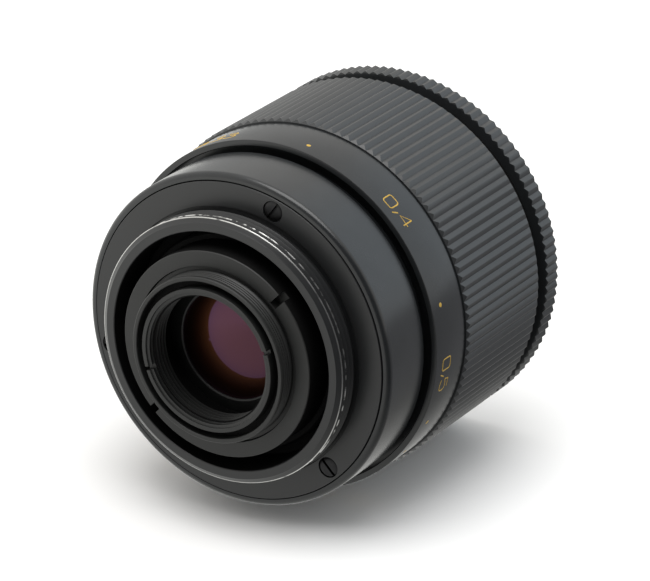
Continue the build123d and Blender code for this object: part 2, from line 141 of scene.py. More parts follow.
def new_material(name):
    material = bpy.data.materials.new(name)
    material.use_nodes = True
    tree = material.node_tree
    tree.nodes.clear()
    place = add(tree, "ShaderNodeTexCoord").outputs["Object"]
    return material, tree, place


def finish_material(tree, surface):
    add(tree, "ShaderNodeOutputMaterial", {"Surface": surface})


print("black #1b1c1d is", [round(c, 4) for c in linear("#1b1c1d")])

# %% [markdown]
# ## Black anodised aluminium
# The rings are turned from aluminium, lightly blasted and dyed black. The oxide is a clear
# hard film over black dye, so it acts as a dark dielectric with a soft sheen. The blasted
# grain is about 0.06 mm; it is drawn at 0.25 mm so that it just shows. Wide faint patches
# in the roughness are handling marks.

# %% Anodised finishes
def grain_bump(tree, place, grain_mm, height_mm):
    grain = noise(tree, place, grain_mm, 3.0)
    return add(
        tree, "ShaderNodeBump", {"Height": grain, "Strength": 0.35, "Distance": height_mm * MM}
    ).outputs["Normal"]


def handled_roughness(tree, place, low, high):
    return map_range(tree, noise(tree, place, 9, 4.0), {"To Min": low, "To Max": high})


def mix_colour(tree, factor, first, second):
    mix = tree.nodes.new("ShaderNodeMix")
    mix.data_type = "RGBA"
    for index, value in ((0, factor), (6, first), (7, second)):
        if isinstance(value, bpy.types.NodeSocket):
            tree.links.new(value, mix.inputs[index])
        else:
            mix.inputs[index].default_value = value
    return mix.outputs[2]


def anodised_aluminium(name, dark, light, rough_low, rough_high, ior=1.5):
    material, tree, place = new_material(name)
    mottle = noise(tree, place, 2.5, 5.0)
    surface = add(
        tree,
        "ShaderNodeBsdfPrincipled",
        {
            "Base Color": mix_colour(tree, mottle, linear(dark), linear(light)),
            "Roughness": handled_roughness(tree, place, rough_low, rough_high),
            "IOR": ior,
            "Normal": grain_bump(tree, place, 0.25, 0.006),
        },
    )
    finish_material(tree, surface.outputs["BSDF"])
    return material


satin_black = anodised_aluminium("anodised_aluminium_satin_black", "#232526", "#2b2d2f", 0.28, 0.36)
barrel_black = anodised_aluminium("anodised_aluminium_fine_black", "#1f2122", "#292b2d", 0.2, 0.28)
matt_black = anodised_aluminium("anodised_aluminium_matt_black", "#1a1b1b", "#232423", 0.42, 0.55)
# Painted shade: a near-black finish that darkens recesses, bores and grooves where shade falls.
painted_shade_black = anodised_aluminium("painted_recess_shade_black", "#070707", "#0d0d0d", 0.6, 0.75, 1.25)
print("anodised finishes", satin_black.name, barrel_black.name, matt_black.name, painted_shade_black.name)


# %% [markdown]
# ## Worn thread
# Screwing the lens on and off rubs the dye from the crests of the thread, and bare
# aluminium shows there as bright rings. The wear depends only on how far a point is from
# the axis and how far back it is: the last crest is rubbed most. The material measures
# both, and noise breaks the rings up.

# %% Worn anodised thread
def radius_from_axis(tree, place):
    parts = add(tree, "ShaderNodeSeparateXYZ", {"Vector": place})
    flat = add(tree, "ShaderNodeCombineXYZ", {"X": parts.outputs["X"], "Z": parts.outputs["Z"]})
    length = add(tree, "ShaderNodeVectorMath", {0: flat.outputs["Vector"]}, operation="LENGTH")
    return length.outputs["Value"], parts.outputs["Y"]


def above(tree, value, start_mm, end_mm):
    """0 below start, 1 above end."""
    return map_range(tree, value, {"From Min": start_mm * MM, "From Max": end_mm * MM})


def product(tree, first, second):
    return add(tree, "ShaderNodeMath", {0: first, 1: second}, operation="MULTIPLY").outputs["Value"]


def mix_value(tree, factor, first, second):
    return add(tree, "ShaderNodeMix", {0: factor, 2: first, 3: second}).outputs[0]


def worn_thread(name, crest_mm, wear_mm):
    material, tree, place = new_material(name)
    radius, along = radius_from_axis(tree, place)
    rubbed = noise(tree, place, 1.6, 6.0)
    broken = map_range(tree, rubbed, {"From Min": 0.22, "From Max": 0.42})
    on_crest = above(tree, radius, crest_mm - wear_mm, crest_mm - wear_mm * 0.4)
    backwards = product(tree, along, -1.0)
    last_crest = above(tree, backwards, 3.5, 3.6)
    next_crest = above(tree, backwards, 2.5, 2.6)
    scuffed = map_range(tree, rubbed, {"From Min": 0.46, "From Max": 0.56})
    share = mix_value(tree, last_crest, product(tree, next_crest, scuffed), broken)
    bare = product(tree, on_crest, share)
    black = add(
        tree,
        "ShaderNodeBsdfPrincipled",
        {
            "Base Color": linear("#262728"),
            "Roughness": handled_roughness(tree, place, 0.3, 0.4),
            "IOR": 1.5,
            "Normal": grain_bump(tree, place, 0.25, 0.006),
        },
    )
    metal = add(
        tree,
        "ShaderNodeBsdfPrincipled",
        {"Base Color": linear("#dcdcda"), "Metallic": 1.0, "Roughness": 0.3},
    )
    finish_material(tree, mix_shader(tree, bare, black.outputs["BSDF"], metal.outputs["BSDF"]))
    return material


thread_metal = worn_thread("anodised_aluminium_worn_thread", thread_radius, 0.15)
print("worn thread material", thread_metal.name)

# %% [markdown]
# ## Steel, brass, paint and glass
# Screws are chemically blackened steel. The hidden nut and guide keys are machined brass,
# and the iris is thin spring steel. The numerals are engraved and filled with yellow
# enamel. The glass has one anti-reflection layer: it passes green and so reflects a weak
# purple. The surfaces behind it reflect a weak amber, which curved glass spreads wide.

# %% The other finishes
def machined_metal(name, dark, light, roughness, lay_mm):
    material, tree, place = new_material(name)
    lay = noise(tree, place, lay_mm, 4.0)
    surface = add(
        tree,
        "ShaderNodeBsdfPrincipled",
        {
            "Base Color": mix_colour(tree, lay, linear(dark), linear(light)),
            "Metallic": 1.0,
            "Roughness": handled_roughness(tree, place, roughness - 0.05, roughness + 0.05),
            "Normal": grain_bump(tree, place, 0.2, 0.004),
        },
    )
    finish_material(tree, surface.outputs["BSDF"])
    return material


def enamel(name, dark, light):
    material, tree, place = new_material(name)
    pooled = noise(tree, place, 0.8, 3.0)
    surface = add(
        tree,
        "ShaderNodeBsdfPrincipled",
        {
            "Base Color": mix_colour(tree, pooled, linear(dark), linear(light)),
            "Roughness": 0.5,
            "IOR": 1.5,
        },
    )
    finish_material(tree, surface.outputs["BSDF"])
    return material


def coated_glass(name, reflection, deep_reflection, body):
    """A sharp reflection over a blurred one from the surfaces behind, over a nearly black opaque
    body that is painted shade for the dark barrel seen through the glass.

    Each reflection is mixed in seven times stronger and coloured seven times darker, which
    looks the same and renders with much less noise.
    """
    material, tree, place = new_material(name)
    bloom = noise(tree, place, 6, 2.0)
    roughness = map_range(tree, bloom, {"To Min": 0.03, "To Max": 0.08})
    weight = add(
        tree,
        "ShaderNodeMath",
        {0: 7.0, 1: add(tree, "ShaderNodeFresnel", {"IOR": 1.52}).outputs["Fac"]},
        operation="MULTIPLY",
        use_clamp=True,
    ).outputs["Value"]
    # Painted shade: the opaque body's near-black colour stands in for the dark barrel behind the
    # glass.
    inside = add(tree, "ShaderNodeBsdfDiffuse", {"Color": linear(body)})
    deep = add(tree, "ShaderNodeBsdfGlossy", {"Color": linear(deep_reflection), "Roughness": 0.36})
    sheen = add(tree, "ShaderNodeBsdfGlossy", {"Color": linear(reflection), "Roughness": roughness})
    dark = mix_shader(tree, weight, inside.outputs["BSDF"], deep.outputs["BSDF"])
    finish_material(tree, mix_shader(tree, weight, dark, sheen.outputs["BSDF"]))
    return material


blackened_steel = machined_metal("blackened_steel", "#2a2a2b", "#3a3a3b", 0.38, 0.6)
spring_steel = machined_metal("ground_spring_steel", "#8c8d8f", "#a4a5a6", 0.3, 0.5)
brass = machined_metal("machined_brass", "#b08d4a", "#c9a75f", 0.32, 0.5)
yellow_enamel = enamel("yellow_engraving_enamel", "#b8922c", "#c9a540")
# Both coatings sit over a near-black body of painted shade.
rear_coating = coated_glass("coated_glass_purple", "#4e3c60", "#8a5638", "#0c080a")
inner_coating = coated_glass("coated_glass_amber", "#6e5138", "#8e6a58", "#0c0806")
print("materials", len(bpy.data.materials))

# %% [markdown]
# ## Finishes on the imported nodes
# Every node gets the finish of its slot in the record. The rings that show get new
# turned pieces further down, and these finishes are what is left inside the lens.

# %% Give each node its finish
slot_finish = {
    "black_anodised": satin_black,
    "matt_black": matt_black,
    "blued_steel": blackened_steel,
    "spring_steel": spring_steel,
    "brass": brass,
    "coated_glass": inner_coating,
}
for part in frame["record"]["subparts"]:
    cad_mesh = frame["nodes"][part["node"]].data
    cad_mesh.materials.clear()
    cad_mesh.materials.append(slot_finish[part["material_slot"]])

# %% [markdown]
# ## Turning a ring
# Almost every piece of a lens is turned on a lathe. The same is done here: one vertex is
# extruded from point to point round the ring's section, and the closed section is spun
# about the optical axis. 192 steps leave a 28 mm ring only 4 thousandths of a millimetre
# off round. A bevel then breaks the sharp edges, as a lathe hand does with a file.

# %% The lathe
AROUND = 192


def deselect():
    if bpy.context.object and bpy.context.object.mode != "OBJECT":
        bpy.ops.object.mode_set(mode="OBJECT")
    bpy.ops.object.select_all(action="DESELECT")


def apply_place(piece, name):
    piece.name = name
    piece.data.name = name
    bpy.ops.object.transform_apply(location=True, rotation=True, scale=True)


def draw_section(points):
    """A chain of edges through (x, y, z) points in mm; it is closed by ending where it began."""
    deselect()
    bpy.ops.mesh.primitive_plane_add(size=MM, location=[c * MM for c in points[0]])
    bpy.ops.object.mode_set(mode="EDIT")
    bpy.ops.mesh.merge(type="CENTER")
    for here, there in zip(points, points[1:]):
        step = [(b - a) * MM for a, b in zip(here, there)]
        bpy.ops.mesh.extrude_region_move(TRANSFORM_OT_translate={"value": step})
    bpy.ops.mesh.select_all(action="SELECT")
    bpy.ops.mesh.remove_doubles(threshold=0.0005 * MM)
    return bpy.context.object


def select_faces(piece, wanted):
    """Only the faces that the test picks are selected, in edit mode."""
    bpy.ops.object.mode_set(mode="EDIT")
    bpy.ops.mesh.select_mode(type="FACE")
    bpy.ops.mesh.select_all(action="DESELECT")
    bpy.ops.object.mode_set(mode="OBJECT")
    for face in piece.data.polygons:
        face.select = wanted(face)
    bpy.ops.object.mode_set(mode="EDIT")


def back_to_object():
    bpy.ops.mesh.select_mode(type="VERT")
    bpy.ops.object.mode_set(mode="OBJECT")


def modify(piece, kind, **settings):
    modifier = piece.modifiers.new(kind.title(), kind)
    for setting, value in settings.items():
        setattr(modifier, setting, value)
    bpy.context.view_layer.objects.active = piece
    bpy.ops.object.modifier_apply(modifier=modifier.name)


def break_edges(piece, width_mm, angle=35):
    modify(
        piece,
        "BEVEL",
        width=width_mm * MM,
        segments=2,
        limit_method="ANGLE",
        angle_limit=math.radians(angle),
    )


def turned(name, outline, closed=True, edge=0.0, steps=AROUND):
    """Spin an outline of (radius, y) points in mm about the optical axis."""
    points = [(radius, y, 0.0) for radius, y in outline]
    if closed:
        points.append(points[0])
    piece = draw_section(points)
    bpy.ops.mesh.select_all(action="SELECT")
    bpy.ops.mesh.spin(steps=steps, angle=2 * math.pi, center=(0, 0, 0), axis=(0, 1, 0))
    bpy.ops.mesh.select_all(action="SELECT")
    bpy.ops.mesh.remove_doubles(threshold=0.0005 * MM)
    bpy.ops.mesh.normals_make_consistent(inside=False)
    bpy.ops.object.mode_set(mode="OBJECT")
    apply_place(piece, name)
    if edge:
        break_edges(piece, edge)
    bpy.ops.object.shade_smooth_by_angle(angle=math.radians(30))
    return piece


def polar(radius, angle):
    return radius * math.cos(math.radians(angle)), radius * math.sin(math.radians(angle))


def dress(piece, body, finish, slot, *nodes):
    piece.data.materials.clear()
    piece.data.materials.append(finish)
    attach(piece, body)
    if nodes:
        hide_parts(*nodes)
    print(piece.name, "faces", len(piece.data.polygons), "on", body)
    return piece


# %% [markdown]
# ## Painted shade in the depths
# Deep walls, bores and grooves get painted shade: a near-black material stands in for the
# shade that falls there. A test on a face's radius and place along the axis picks them,
# and they get a second material on the same piece.

# %% Paint shade on the deep faces
def paint_shade_black(piece, wanted):
    """Faces for which wanted(radius, y), in mm, is true become painted shade black."""
    piece.data.materials.append(painted_shade_black)
    for face in piece.data.polygons:
        radius = math.hypot(face.center.x, face.center.z) / MM
        if wanted(radius, face.center.y / MM):
            face.material_index = len(piece.data.materials) - 1


print("deep faces get", painted_shade_black.name)

# %% [markdown]
# ## Cutting slots and holes
# Spanner slots and screw seats are milled after turning. A bar or a disc is placed on the
# ring at an angle about the axis, and a boolean takes it away.

# %% Cutters
def cut(piece, cutter):
    modify(piece, "BOOLEAN", operation="DIFFERENCE", solver="EXACT", object=cutter)
    bpy.data.objects.remove(cutter)


def bar(angle, inner, outer, width, y_rear, y_front, turn_in_place=0.0):
    """A straight bar across a ring, centred on an angle about the axis."""
    deselect()
    x, z = polar((inner + outer) / 2, angle)
    middle = (x * MM, (y_rear + y_front) / 2 * MM, z * MM)
    bpy.ops.mesh.primitive_cube_add(size=1.0, location=middle)
    made = bpy.context.object
    made.scale = ((outer - inner) * MM, (y_front - y_rear) * MM, width * MM)
    made.rotation_euler = (0.0, -math.radians(angle + turn_in_place), 0.0)
    apply_place(made, "cutter")
    return made


def disc(angle, circle, radius, y_rear, y_front, corners=48):
    """A round stud parallel to the axis, on a circle of screws."""
    deselect()
    x, z = polar(circle, angle)
    bpy.ops.mesh.primitive_cylinder_add(
        vertices=corners,
        radius=radius * MM,
        depth=(y_front - y_rear) * MM,
        location=(x * MM, (y_rear + y_front) / 2 * MM, z * MM),
        rotation=(math.pi / 2, 0.0, 0.0),
    )
    made = bpy.context.object
    apply_place(made, "cutter")
    return made


print("cutters ready")

# %% [markdown]
# ## Mount ring
# The mount is one ring: a flat plate that seats on the camera or board, and a 42 mm thread
# on a 1 mm pitch standing behind it. The crests are rounded by wear. A real thread is a
# helix of one turn in 1 mm. Separate rings on the same pitch look the same and stay closed.

# %% Turn the mount ring
thread_depth = 0.61
mount_bore = 18.87
screw_circle = 23.15
screw_head = 1.55
screw_angles = [73.7 + 120.0 * step for step in range(3)]

section = [(mount_bore, 2.4), (mount_bore, thread_rear + 0.12), (mount_bore + 0.12, thread_rear)]
section += [(20.2, thread_rear), (20.32, thread_rear + 0.1)]
for crest in (-4.0, -3.0, -2.0, -1.0):
    section += [
        (thread_radius - thread_depth, crest - 0.44),
        (thread_radius - 0.06, crest - 0.09),
        (thread_radius, crest - 0.03),
        (thread_radius, crest + 0.03),
        (thread_radius - 0.06, crest + 0.09),
        (thread_radius - thread_depth, crest + 0.44),
    ]
section += [(thread_radius - thread_depth, 0.3), (21.3, 0.3), (21.3, 0.06), (21.36, 0.0)]
section += [(plate_radius - 0.06, 0.0), (plate_radius, 0.06), (plate_radius, 2.4)]
mount_ring = turned("mount_plate_thread", section)
for angle in screw_angles:
    cut(mount_ring, disc(angle, screw_circle, screw_head + 0.1, -1.0, 1.1))
dress(mount_ring, "mount_barrel", thread_metal, "black_anodised", "mount_ring")
# Painted shade: the bore faces become near-black for the shade deep inside the mount.
paint_shade_black(mount_ring, lambda radius, y: radius < mount_bore + 0.05)

# %% [markdown]
# ## Plate screws
# Three slotted cheese-head screws hold the plate. One head is made: a disc whose rim is
# inset and drawn back into a low dome, with a milled slot. The others are copies, and each
# slot points where the screw happened to end up.

# %% Model one screw and copy it
def plate_screw(name, angle, slot_angle):
    head = disc(0.0, 0.0, screw_head, 0.16, 1.05)
    select_faces(head, lambda face: face.normal.y < -0.9)
    bpy.ops.mesh.inset(thickness=0.18 * MM, depth=0.1 * MM)
    bpy.ops.mesh.inset(thickness=0.5 * MM, depth=0.03 * MM)
    back_to_object()
    cut(head, bar(slot_angle, -3.0, 3.0, 0.42, -1.0, 0.52))
    x, z = polar(screw_circle, angle)
    head.location = (x * MM, 0.0, z * MM)
    bpy.context.view_layer.objects.active = head
    head.select_set(True)
    apply_place(head, name)
    bpy.ops.object.shade_smooth_by_angle(angle=math.radians(30))
    return head


for number, (angle, slot_angle) in enumerate(zip(screw_angles, (53.0, 20.0, -46.0))):
    screw = plate_screw(f"mount_screw_{number + 1}", angle, slot_angle)
    dress(screw, "mount_barrel", blackened_steel, "blued_steel", "mount_screws")

# %% [markdown]
# ## Fixed barrel
# A smooth sleeve, 53 mm across, with a rounded rim round the plate. Behind the focusing
# ring it steps down, which leaves the dark groove that the ring turns over.

# %% Turn the fixed barrel
seat_radius = 25.25
rim_round = 0.9
section = [(21.6, 2.4), (seat_radius, 2.4), (seat_radius, 0.3), (seat_radius + 0.1, 0.16)]
for step in range(7):
    lean = math.radians(90.0 * step / 6)
    section.append(
        (
            barrel_radius - rim_round + rim_round * math.sin(lean),
            0.16 + rim_round - rim_round * math.cos(lean),
        )
    )
section += [(barrel_radius, 9.85), (barrel_radius - 0.15, 10.0), (25.4, 10.0), (25.4, 12.0)]
section += [(24.6, 12.0), (24.6, 24.0), (22.6, 24.0), (22.6, 8.6), (21.6, 7.6)]
barrel = turned("barrel_sleeve", section)
dress(barrel, "mount_barrel", barrel_black, "black_anodised", "fixed_barrel")

# %% [markdown]
# ## Scale band
# The focusing ring starts with a smooth band, 56 mm across, that carries the distances.
# Its rear lip is thin, and the turned edge catches the light.

# %% Turn the scale band
scale_rear = rear_of("scale_ring")
carrier_radius = grip_radius - 1.8
section = [(27.0, scale_rear + 2.0), (27.0, scale_rear + 0.12), (27.12, scale_rear)]
section += [(scale_radius - 0.18, scale_rear), (scale_radius - 0.05, scale_rear + 0.05)]
section += [(scale_radius, scale_rear + 0.18), (scale_radius, grip_rear - 0.02)]
section += [(carrier_radius - 0.05, grip_rear - 0.02), (carrier_radius - 0.05, grip_front - 0.5)]
section += [(24.9, grip_front - 0.5), (24.9, 27.0), (25.8, 27.0), (25.8, 23.9), (24.65, 23.9)]
section += [(24.65, 13.2)]
band = turned("scale_band", section)
dress(band, "focusing_ring", barrel_black, "black_anodised", "scale_ring")

# %% [markdown]
# ## Ribbed grip
# The grip is knurled straight: 120 ribs, 3 degrees apart, with V grooves 0.38 mm deep and
# chamfered ends. One rib is drawn across its width, filled and extruded along the axis,
# and its crest is shortened to make the chamfers. Then it is spun 120 times with copies,
# and its sides merge.

# %% Make one rib and spin it round
def ribbed_ring(name, crest, depth, bore, y_rear, y_front, groove_angle, count, flat, chamfer):
    pitch = 360.0 / count
    foot = crest - depth
    crest_low, crest_high = pitch * (0.5 - flat / 2), pitch * (0.5 + flat / 2)
    outline = [(bore, pitch), (foot, pitch), (crest, crest_high), (crest, crest_low), (foot, 0.0)]
    outline += [(foot, pitch), (foot, 0.0), (bore, 0.0), (bore, pitch)]
    points = []
    for radius, angle in outline:
        x, z = polar(radius, groove_angle + angle)
        points.append((x, y_rear, z))
    rib = draw_section(points)
    bpy.ops.mesh.select_all(action="SELECT")
    bpy.ops.mesh.fill()
    length = (y_front - y_rear) * MM
    bpy.ops.mesh.extrude_region_move(TRANSFORM_OT_translate={"value": (0, length, 0)})
    bpy.ops.mesh.select_all(action="SELECT")
    bpy.ops.mesh.normals_make_consistent(inside=False)
    bpy.ops.object.mode_set(mode="OBJECT")
    apply_place(rib, name)

    def on_crest(face):
        radius = math.hypot(face.center.x, face.center.z) / MM
        return abs(face.normal.y) < 0.1 and radius > crest - 0.02

    select_faces(rib, on_crest)
    bpy.ops.transform.resize(
        value=(1.0, 1.0 - 2 * chamfer / (y_front - y_rear), 1.0),
        center_override=(0.0, (y_rear + y_front) / 2 * MM, 0.0),
    )
    back_to_object()
    low, high = math.radians(groove_angle), math.radians(groove_angle + pitch)

    def on_side(face):
        at = math.atan2(face.center.z, face.center.x)
        return abs(at - low) < 1e-3 or abs(at - high) < 1e-3

    select_faces(rib, on_side)
    bpy.ops.mesh.delete(type="ONLY_FACE")
    back_to_object()
    bpy.ops.object.mode_set(mode="EDIT")
    bpy.ops.mesh.select_all(action="SELECT")
    bpy.ops.mesh.spin(
        steps=count, angle=2 * math.pi, center=(0, 0, 0), axis=(0, 1, 0), dupli=True
    )
    bpy.ops.mesh.select_all(action="SELECT")
    bpy.ops.mesh.remove_doubles(threshold=0.002 * MM)
    bpy.ops.mesh.normals_make_consistent(inside=False)
    bpy.ops.object.mode_set(mode="OBJECT")
    bpy.ops.object.shade_smooth_by_angle(angle=math.radians(35))
    return rib


rib_count = 120
rib_depth = 0.38
crest_share = 0.1
grip_first_groove = 2.0
grip_end_chamfer = 0.5
grip = ribbed_ring(
    "ribbed_grip",
    grip_radius,
    rib_depth,
    carrier_radius,
    grip_rear,
    grip_front,
    grip_first_groove,
    rib_count,
    crest_share,
    grip_end_chamfer,
)
dress(grip, "focusing_ring", satin_black, "black_anodised", "grip_sleeve")

# %% [markdown]
# ## Aperture ring
# The front ring has the same 120 ribs but only 3.4 mm long. Behind it a hub in painted
# shade black fills the gap to the grip, standing in for the shade on the gap's floor.

# %% Make the aperture ring
ring_rear = 44.2
ring_front = 47.6
ring_hub = 26.8
ring_bore = 25.2
ring_first_groove = 1.3
ring_end_chamfer = 0.15
knurl = ribbed_ring(
    "aperture_knurl",
    grip_radius,
    rib_depth,
    ring_bore,
    ring_rear,
    ring_front,
    ring_first_groove,
    rib_count,
    crest_share,
    ring_end_chamfer,
)
dress(knurl, "aperture_control", satin_black, "black_anodised", "aperture_ring")
section = [(18.4, 40.1), (23.0, 40.1), (ring_hub, 42.4), (ring_hub, 44.25), (ring_bore, 44.25)]
section += [(ring_bore, 43.2), (21.9, 41.2), (18.4, 41.2)]
hub_ring = turned("aperture_ring_hub", section)
sleeve_screw_circle = 20.2
for angle in (40.0, 160.0, 280.0):
    cut(hub_ring, disc(angle, sleeve_screw_circle, 0.62, 39.0, 42.0))
    cut(hub_ring, disc(angle, sleeve_screw_circle, 1.0, 40.65, 42.0))
# Painted shade: the whole hub is near-black for the shaded floor of the gap.
dress(hub_ring, "aperture_control", painted_shade_black, "black_anodised")

# %% [markdown]
# ## Focusing tube
# The lens block ends at the rear in a flat flange with two spanner notches. Between it and
# the mount ring is a deep gap whose walls get painted shade, and at its bottom a thin turned edge
# shows.

# %% Turn the focusing tube
flange_radius = 16.28
flange_bore = 13.85
section = [(flange_bore, 3.4), (flange_bore, tube_rear + 0.06), (flange_bore + 0.06, tube_rear)]
section += [(flange_radius - 0.12, tube_rear), (flange_radius, tube_rear + 0.12)]
section += [(flange_radius, -0.1), (17.0, -0.1), (17.35, 0.25), (17.35, 2.7), (20.0, 2.7)]
section += [(20.0, 13.4), (20.5, 13.4)]
section += [(20.5, 34.6), (20.0, 34.6), (20.0, 35.6), (24.2, 35.6), (24.2, 38.6), (18.4, 38.6)]
section += [(18.4, 4.0), (16.9, 4.0), (16.9, 3.4)]
tube = turned("focusing_tube_flange", section)
notch_angles = (45.3, 225.3)
key_angles = (15.0, 195.0)
for angle in notch_angles:
    cut(tube, bar(angle, 14.15, 18.0, 1.25, -8.0, tube_rear + 1.6))
for angle in key_angles:
    cut(tube, bar(angle, 19.6, 24.0, 3.16, 2.6, 23.6))
dress(tube, "lens_block", matt_black, "matt_black", "focusing_tube")
# Painted shade: the walls deeper than the flange face become near-black for the shade in the gap.
paint_shade_black(tube, lambda radius, y: radius > 16.2 and y > tube_rear + 0.15)

# %% [markdown]
# ## Hub of the optical barrel
# The hub stands out of the flange and holds the rear glass. A fine thread is cut on its
# outside, and its lip is thin. Inside it, a stepped seat takes the slotted retainer.

# %% Turn the hub
hub_radius = 13.1
section = [(12.4, -6.4), (12.4, hub_rear + 0.1), (12.5, hub_rear), (hub_radius - 0.14, hub_rear)]
section += [(hub_radius, hub_rear + 0.14)]
fine_pitch = 0.5
for step in range(4):
    y = hub_rear + 0.6 + fine_pitch * step
    section += [(hub_radius, y), (hub_radius - 0.16, y + 0.17), (hub_radius, y + 0.34)]
section += [(hub_radius + 0.12, -5.5), (hub_radius + 0.12, -5.2), (flange_bore - 0.08, -5.2)]
section += [(flange_bore - 0.08, 3.4), (16.4, 3.4), (16.4, 11.6), (15.6, 11.6), (15.6, 4.0)]
section += [(10.6, 4.0), (10.6, 0.6), (11.35, -0.4), (11.35, -4.0), (10.45, -4.0)]
section += [(10.45, -7.2), (10.95, -7.2), (10.95, -6.4)]
hub = turned("rear_hub", section)
dress(hub, "lens_block", matt_black, "matt_black", "optical_barrel")
# Painted shade: the inner faces of the hub and the well wall become near-black for the shade
# inside.
paint_shade_black(hub, lambda radius, y: radius < 12.45 and y > -7.0)

# %% [markdown]
# ## Retainer and light trap
# A thin nut with two spanner slots closes the hub; its skirt stands in a deep trench. Under
# it, rings of fine thread on a 0.75 mm pitch break up stray light. Their crests are left
# satin and their grooves get painted shade, so they show as light and dark lines.

# %% Turn the retainer and the light trap
section = [(10.1, -7.25), (10.1, -7.42), (10.5, -7.5), (10.5, -7.6), (10.2, -7.95), (10.2, -8.02)]
section += [(10.62, -8.1), (10.65, -8.36), (10.7, -8.4), (11.24, -8.4), (11.3, -8.34)]
section += [(11.3, -6.5), (11.0, -6.5), (11.0, -7.25)]
retainer = turned("rear_retainer_ring", section)
slot_angles = (19.0, 199.0)
for angle in slot_angles:
    cut(retainer, bar(angle, 9.0, 12.5, 0.6, -9.0, -7.35))
dress(retainer, "lens_block", matt_black, "matt_black", "rear_retainer")
# Painted shade: the retainer's inner step faces become near-black.
paint_shade_black(retainer, lambda radius, y: y > -8.0 and 10.34 < radius < 10.6)

trap_pitch = 0.75
section = [(10.4, -4.02), (10.4, -7.2), (9.85, -7.2)]
for step in range(4):
    y = -7.2 + trap_pitch * step
    section += [(9.85, y + 0.1), (10.22, y + 0.5), (10.22, y + 0.62), (9.85, y + 0.72)]
section += [(10.25, -4.02)]
trap = turned("light_trap_rings", section)
dress(trap, "lens_block", matt_black, "matt_black", "rear_baffle")
# Painted shade: the grooves between the crests become near-black.
paint_shade_black(trap, lambda radius, y: radius > 10.1)

# %% [markdown]
# ## Seat of the rear glass
# The glass sits in a black cell whose lip is turned to a thin edge. The well wall between
# the light trap and the cell is darkened with painted shade.

# %% Turn the glass seat
section = [(8.73, -1.14), (8.79, -1.2), (8.98, -1.25), (10.0, -0.9), (11.25, -0.38), (10.55, 0.55)]
section += [(10.55, 3.95), (9.75, 3.95), (9.75, -0.85), (8.73, -0.85)]
seat = turned("rear_glass_seat", section)
dress(seat, "lens_block", matt_black, "matt_black", "rear_cell")

# %% [markdown]
# ## Rear glass
# The rear element is a shallow meniscus. Its face is a slice of a sphere, so the section
# follows that sphere's formula. The glass is opaque, and its nearly black body is painted
# shade for the dark iris behind it; only its coated reflections show.

# %% Turn the rear glasses
def cap(edge_radius, edge_y, bulge, steps=14):
    """Points from the axis to the edge of a spherical face; a positive bulge goes to -Y."""
    ball = (edge_radius**2 + bulge**2) / (2 * abs(bulge))
    points = []
    for step in range(steps + 1):
        radius = edge_radius * step / steps
        sag = ball - math.sqrt(ball**2 - radius**2)
        points.append((radius, edge_y - bulge + math.copysign(sag, bulge)))
    return points


glass_edge = 9.7
section = cap(glass_edge, -0.5, 1.6) + cap(glass_edge, 0.8, -1.3)[::-1]
glass = turned("rear_glass", section, closed=False, steps=128)
dress(glass, "lens_block", rear_coating, "coated_glass", "rear_lens")
section = cap(glass_edge, 0.82, -1.3) + cap(glass_edge, 3.6, 0.8)[::-1]
second = turned("rear_second_glass", section, closed=False, steps=128)
dress(second, "lens_block", inner_coating, "coated_glass", "rear_cemented_lens")

# %% [markdown]
# ## Front hood and filter rim
# The front element sits deep in a hood with stepped rings, which keeps side light off it.
# The rim carries the filter thread on a 0.75 mm pitch.

# %% Turn the hood and the rim
hood_steps = 12
hood_pitch = 20.0 / hood_steps
section = [(14.65, 21.2), (14.65, 13.2), (16.2, 13.2), (16.2, 41.6), (21.6, 41.6), (24.7, 43.2)]
section += [(24.7, 44.95), (23.5, 45.0), (15.7, 42.2)]
for step in range(hood_steps):
    y = 41.6 - hood_pitch * step
    inset = 2.7 * step / hood_steps
    section += [(15.3 - inset, y), (15.0 - inset, y - 0.1), (15.0 - inset, y - 0.5)]
section += [(12.4, 21.2)]
hood = turned("front_hood_steps", section)
# Painted shade: the whole hood is near-black for the shade deep in the hood.
dress(hood, "lens_block", painted_shade_black, "black_anodised", "front_hood")

section = [(24.25, 49.0), (24.65, rim_front), (26.2, rim_front), (26.35, rim_front - 0.06)]
section += [(26.4, rim_front - 0.2), (26.4, 47.95), (26.35, 47.9), (25.15, 47.9), (25.15, 44.2)]
section += [(24.72, 44.2), (24.72, 45.0), (24.25, 45.0)]
filter_pitch = 0.75
for step in range(5):
    y = 45.0 + filter_pitch * step
    section += [(24.25, y + 0.3), (24.25, y + 0.4), (24.66, y + 0.68), (24.66, y + 0.74)]
rim = turned("filter_rim", section)
dress(rim, "lens_block", satin_black, "black_anodised", "front_rim")

front_edge = 11.55
section = cap(front_edge, 14.45, 0.001) + cap(front_edge, 16.0, -2.2)[::-1]
# Painted shade: like the rear glass, its opaque near-black body stands in for the dark barrel
# behind.
front_glass = turned("front_glass", section, closed=False, steps=128)
dress(front_glass, "lens_block", rear_coating, "coated_glass", "front_lens")

# %% [markdown]
# ## Distance scale
# The distances are engraved with a round cutter and filled with yellow enamel, so each
# numeral is one stroke about 0.2 mm wide. Strokes are curves laid round the band: a curve
# keeps the stroke's width even. The tube of paint is sunk so that only a thin strip shows.
#
# A mark's place follows from the optics. A 50 mm lens focused at a distance D has moved
# forward by x, where D = 2f + x + f*f/x, and the ring turns 24.64 degrees for each
# millimetre. The numerals stand with their tops to the front and read with falling angle.

